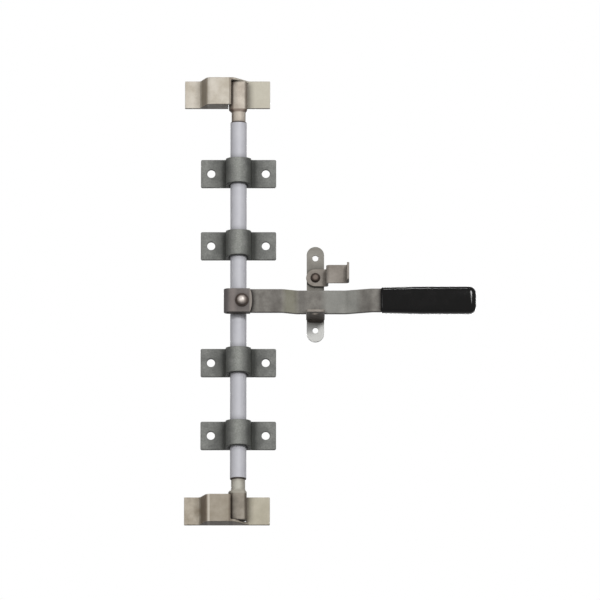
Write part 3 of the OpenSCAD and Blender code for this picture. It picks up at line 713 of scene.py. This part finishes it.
def filletBead(corner, toeA, toeB, length, scales):
    # Fillet weld: across, a line from toe to toe bowed out as sin; along, scales as |sin|; towards
    # each end all of it shrinks by the root of 1 - |2 s / length|^12, with s from the middle.
    corner, toeA, toeB = (np.array(p, float) for p in (corner, toeA, toeB))
    along = np.linspace(-length / 2, length / 2, fillWeld["perScale"] * scales + 1)[:, None]
    across = np.linspace(0, 1, fillWeld["across"])
    out = unit(toeA + toeB - 2 * corner)
    scale = abs(np.sin(along / length * np.pi * scales))
    swell = fillWeld["valley"] + (1 - fillWeld["valley"]) * scale
    swell = swell * np.sin(across * np.pi) * fillWeld["bulge"]
    left = 1 - (2 * abs(along) / length) ** fillWeld["endPower"]
    grow = np.sqrt(np.clip(left, fillWeld["endLeast"], 1))[..., None]
    face = toeA + (toeB - toeA) * across[:, None] + swell[..., None] * out
    face = corner + (face - corner) * grow
    root = np.broadcast_to(corner, (len(along), 1, 2))
    ring = np.concatenate([root, face], 1)
    return np.concatenate([ring, np.broadcast_to(along[..., None], ring.shape[:2] + (1,))], 2)


hubWeld = {"toe": 9.1, "leg": 3.6, "root": 1, "length": 28.5, "scales": 9}
legX = math.sqrt(bar["radius"] ** 2 - (bar["radius"] - hubWeld["leg"]) ** 2)
bead = filletBead((hubWeld["root"], -hub["back"]), (hubWeld["toe"], -hub["back"]),
                  (legX, hubWeld["leg"] - hub["back"]), hubWeld["length"], hubWeld["scales"])
bead = bead + np.array([0, 0, hub["middle"]])
mirrored = bead * np.array([-1, 1, 1])
addPiece("hubWelds", gridMesh([capped(bead), capped(mirrored)], sharpAngle=60),
         "turning_bar", ["hub_welds"], finish["weldMetal"])
print("hub done")

# Handle bar and grip

handle = {"thickness": 6, "edge": 0.9, "height": 32, "start": -12.87, "out": 32.45, "innerOut": 23.95,
          "gripOut": 35.95, "bends": (60, 79, 145, 180), "tip": 312.5, "bend": 12, "corner": 1.5}
b = handle["bends"]
barPath = fillet(
    [(handle["start"], -handle["out"]), (b[0], -handle["out"]), (b[1], -handle["innerOut"]),
     (b[2], -handle["innerOut"]), (b[3], -handle["gripOut"]), (handle["tip"], -handle["gripOut"])],
    handle["bend"] + handle["thickness"] / 2, steps=10, closed=False)
barEnd = travelAlong(barPath[0])[-1]
half = handle["height"] / 2
barOutline, _ = fillet(rectangle(0, barEnd, -half, half), handle["corner"])
addPiece("handleBar", pressedSheet(handle, barOutline, upright(hub["middle"]), path=barPath),
         "handle", ["handle_bar"], finish["barSteel"])

grip = {"start": 192.5, "end": 320.5, "half": 18.5, "thick": 7.5, "neck": 0.94, "swellBy": 60,
        "endRound": 9.5, "endThick": 0.62, "lip": 1.8, "power": 4.5, "mouth": 2.5, "mouthHigh": 0.93,
        "mouthThick": 0.5, "bodyFrom": 3, "bodyTo": 1, "rings": 40, "columns": 96}


def gripRings():
    # Superellipse section carried along X: z = H sgn(sin) |sin|^(2/n), y = T sgn(cos) |cos|^(2/n);
    # H and T swell from the neck, roll over a small lip at the mouth and a round nose at the end.
    turn = np.linspace(0, 2 * np.pi, grip["columns"], endpoint=False)
    start, end, nose, lip = grip["start"], grip["end"], grip["endRound"], grip["lip"]
    mouth, tip = np.linspace(0, np.pi / 2, 7), np.linspace(0, np.pi / 2, 22)
    x = np.concatenate([
        start + lip * (1 - np.cos(mouth)),
        np.linspace(start + grip["bodyFrom"], end - nose - grip["bodyTo"], grip["rings"]),
        end - nose * (1 - np.sin(tip))])
    grow = np.clip((x - start) / grip["swellBy"], 0, 1)
    body = grip["neck"] + (1 - grip["neck"]) * grow * grow * (3 - 2 * grow)
    lipIn = lip * (1 - np.sqrt(np.clip(1 - np.clip(1 - (x - start) / lip, 0, 1) ** 2, 0, 1)))
    back = np.clip((x - end + nose) / nose, 0, 1)
    noseH = nose * (1 - np.sqrt(np.clip(1 - back ** 2, 0, 1)))
    noseT = grip["thick"] * grip["endThick"] * (1 - np.sqrt(np.clip(1 - back ** 3, 0, 1)))
    high = (grip["half"] * body - lipIn - noseH)[:, None]
    thick = (grip["thick"] * (0.5 + body / 2) - lipIn - noseT)[:, None]
    c, s, n = np.cos(turn), np.sin(turn), 2 / grip["power"]
    z = hub["middle"] + high * np.sign(s) * abs(s) ** n
    y = -handle["gripOut"] + thick * np.sign(c) * abs(c) ** n
    rings = np.stack([np.broadcast_to(x[:, None], z.shape), y, z], -1)
    inner = rings[:1].copy()  # the mouth turns in to the bar
    inner[..., 1] = -handle["gripOut"] + (inner[..., 1] + handle["gripOut"]) * grip["mouthThick"]
    inner[..., 2] = hub["middle"] + (inner[..., 2] - hub["middle"]) * grip["mouthHigh"]
    deep = inner.copy()
    deep[..., 0] += grip["mouth"]
    return capped(np.concatenate([deep, inner, rings]))


addPiece("dippedGrip", gridMesh([gripRings()], sharpAngle=60), "handle", ["hand_grip"],
         finish["dippedGrip"])
print("handle done")

# Catch: plate, shelf, weld, hasp, rivet and washer

catch = {"thickness": 3, "edge": 0.5, "x": 104, "half": 11.75, "corner": 11.74, "high": 80, "low": -52,
         "holes": (64, -36), "holeRadius": 4}
c = catch
plateCorners = rectangle(c["x"] - c["half"], c["x"] + c["half"], c["low"], c["high"])
plateOutline, _ = fillet(plateCorners, c["corner"], steps=16)
plateHoles = [circle(c["x"], z, c["holeRadius"]) for z in c["holes"]]
platePlace = {"axes": [[1, 0, 0], [0, -1, 0], [0, 0, 1]], "origin": [0, -c["thickness"] / 2, 0]}
addPiece("catchPlate", pressedSheet(catch, plateOutline, platePlace, plateHoles),
         "door_side", ["catch_plate"], finish["catchSteel"])

shelf = {"thickness": 3.5, "edge": 0.5, "out": 54, "corners": (3, 3, 0.6, 0.6), "top": -18.3,
         "lockOut": 40.45, "lockRadius": 5, "half": 12.5}
shelfCorners = rectangle(c["x"] - shelf["half"], c["x"] + shelf["half"], -shelf["out"], -c["thickness"])
shelfOutline, _ = fillet(shelfCorners, shelf["corners"])
shelfHole = circle(c["x"], -shelf["lockOut"], shelf["lockRadius"])
shelfPlace = {"axes": [[1, 0, 0], [0, 0, 1], [0, 1, 0]],
              "origin": [0, 0, shelf["top"] - shelf["thickness"] / 2]}
addPiece("catchShelf", pressedSheet(shelf, shelfOutline, shelfPlace, [shelfHole]),
         "door_side", ["catch_shelf"], finish["haspSteel"])

shelfWeld = {"leg": 3.5, "length": 21, "scales": 7}
under = shelf["top"] - shelf["thickness"]
bead = filletBead((-c["thickness"], under), (-c["thickness"] - shelfWeld["leg"], under),
                  (-c["thickness"], under - shelfWeld["leg"]), shelfWeld["length"], shelfWeld["scales"])
bead = np.stack([bead[..., 2] + c["x"], bead[..., 0], bead[..., 1]], -1)
addPiece("shelfWeld", gridMesh([capped(bead)], sharpAngle=60), "door_side",
         ["catch_shelf_weld"], finish["weldMetal"])

hasp = {"thickness": 3, "edge": 0.45, "bend": 2, "bendSteps": 8, "half": 12.5, "earHalf": 11.9, "z": 36,
        "backMid": 6, "faceMid": 29.45, "step": 16, "lip": 44, "lipOut": 50, "corner": 3,
        "widenFrom": -3, "widenTo": 10, "holeOut": 40.45, "holeRadius": 5}
h, x0 = hasp, catch["x"]
haspPath = fillet(
    [(x0 - h["half"], -h["backMid"]), (x0 + h["step"], -h["backMid"]), (x0 + h["step"], -h["faceMid"]),
     (x0 + h["lip"], -h["faceMid"]), (x0 + h["lip"], -h["lipOut"])],
    h["bend"] + h["thickness"] / 2, steps=h["bendSteps"], closed=False)
haspTravel = travelAlong(haspPath[0])
haspEnd, bendEnd = haspTravel[-1], haspTravel[h["bendSteps"] + 1]  # its tip, the first bend's end
widenFrom, widenTo = bendEnd + h["widenFrom"], bendEnd + h["widenTo"]
ear = np.linspace(np.pi / 2, 3 * np.pi / 2, 25)
earLoop = np.stack([h["half"] + h["half"] * np.cos(ear), h["earHalf"] * np.sin(ear)], 1)
lipEnd, _ = fillet(rectangle(0, haspEnd, -h["half"], h["half"]), h["corner"], closed=False)
haspOutline = np.concatenate([
    earLoop, [[widenFrom, -h["earHalf"]], [widenTo, -h["half"]]], lipEnd[1:-1],
    [[widenTo, h["half"]], [widenFrom, h["earHalf"]]]])
haspHole = circle(haspEnd - (h["lipOut"] - h["holeOut"]), 0, h["holeRadius"])
addPiece("lockHasp", pressedSheet(hasp, haspOutline, upright(h["z"]), [haspHole], haspPath),
         "hasp", ["lock_hasp"], finish["haspSteel"])

pivot = {"radius": 4, "tail": 0.2, "base": 7.8, "head": 6.5, "headHigh": 4, "headEdge": 0.3,
         "headFlat": 0.12, "washer": 8.5, "washerFrom": 3, "washerThick": 1.2, "washerEdge": 0.3}
centre = (catch["x"], 0, hasp["z"])
pivotProfile = [
    (0, pivot["tail"]), (pivot["radius"], pivot["tail"]), (pivot["radius"], pivot["base"]),
    (pivot["head"] - pivot["headEdge"], pivot["base"]),
    *domeProfile(pivot["head"], pivot["headHigh"], pivot["base"], pivot["headFlat"])]
addPiece("haspRivet", gridMesh([revolve(pivotProfile, centre, "-y")], sharpAngle=50),
         "door_side", ["hasp_rivet"], finish["darkSteel"])
low, high = pivot["washerFrom"], pivot["washerFrom"] + pivot["washerThick"]
bore, rim, edge = pivot["radius"], pivot["washer"], pivot["washerEdge"]
spacerProfile = [(bore, low), (rim - edge, low), (rim, low + edge), (rim, high - edge), (rim - edge, high),
                 (bore, high)]
addPiece("haspWasher", gridMesh([revolve(spacerProfile, centre, "-y")], wrapRows=True),
         "door_side", ["hasp_washer"], finish["catchSteel"])
print("catch done")

# Floor, light and camera

view = {"aim": (83.2, -14, 3.7), "distance": 14000, "elevation": -13, "field": 810, "sensor": 36}
stage = {"floor": -3400, "reach": 20000, "paint": (238, 238, 238), "rough": 0.9, "glow": 0.75, "sky": 0.14}


def seenRay(tree):
    # 1 for what the camera sees, straight or in a reflection
    ray = addNode(tree, "ShaderNodeLightPath").outputs
    return mathNode(tree, "MAXIMUM", ray["Is Camera Ray"],
                    mathNode(tree, "MAXIMUM", ray["Is Glossy Ray"], ray["Is Transmission Ray"]))


floorMesh = bpy.data.meshes.new("floor")
f, z = stage["reach"] * mm, stage["floor"] * mm
floorMesh.from_pydata([(-f, -f, z), (f, -f, z), (f, f, z), (-f, f, z)], [], [(0, 1, 2, 3)])
floor = bpy.data.objects.new("floor", floorMesh)
scene.collection.objects.link(floor)
floorPaint = bpy.data.materials.new("paleFloor")
floorPaint.use_nodes = True
tree = floorPaint.node_tree
shader = tree.nodes["Principled BSDF"]
shader.inputs["Base Color"].default_value = colour(stage["paint"])
shader.inputs["Roughness"].default_value = stage["rough"]
shader.inputs["Emission Color"].default_value = (1, 1, 1, 1)
glow = ramp(tree, seenRay(tree), 0.0, 1.0, 0.0, stage["glow"])
tree.links.new(glow, shader.inputs["Emission Strength"])
floorMesh.materials.append(floorPaint)

world = bpy.data.worlds.new("studio")
scene.world = world
world.use_nodes = True
tree = world.node_tree
level = ramp(tree, seenRay(tree), 0.0, 1.0, stage["sky"])
tree.nodes["Background"].inputs["Color"].default_value = (1, 1, 1, 1)
tree.links.new(level, tree.nodes["Background"].inputs["Strength"])

lamps = {
    "key": {"place": (1100, -3950, 1350), "size": 900, "power": 84},
    "fill": {"place": (-1300, -4000, 500), "size": 1200, "power": 34},
    "back": {"place": (80, 4100, 900), "size": 1500, "power": 70},
    "glint": {"place": (240, -2500, 2600), "size": 200, "power": 7},
}


def aimAt(thing, target):
    thing.rotation_euler = (Vector(target) - thing.location).to_track_quat("-Z", "Y").to_euler()


for name, lamp in lamps.items():
    data = bpy.data.lights.new(name, "AREA")
    data.shape, data.size, data.energy = "DISK", lamp["size"] * mm, lamp["power"]
    light = bpy.data.objects.new(name, data)
    scene.collection.objects.link(light)
    light.location = Vector(lamp["place"]) * mm
    aimAt(light, Vector(view["aim"]) * mm)

data = bpy.data.cameras.new("camera")
data.sensor_width = view["sensor"]
data.lens = view["sensor"] * view["distance"] / view["field"]
camera = bpy.data.objects.new("camera", data)
scene.collection.objects.link(camera)
tilt = math.radians(view["elevation"])
back = Vector((0, -math.cos(tilt), math.sin(tilt))) * view["distance"]
camera.location = (Vector(view["aim"]) + back) * mm
aimAt(camera, Vector(view["aim"]) * mm)
scene.camera = camera
scene.view_settings.view_transform = "Standard"
print("stage done")
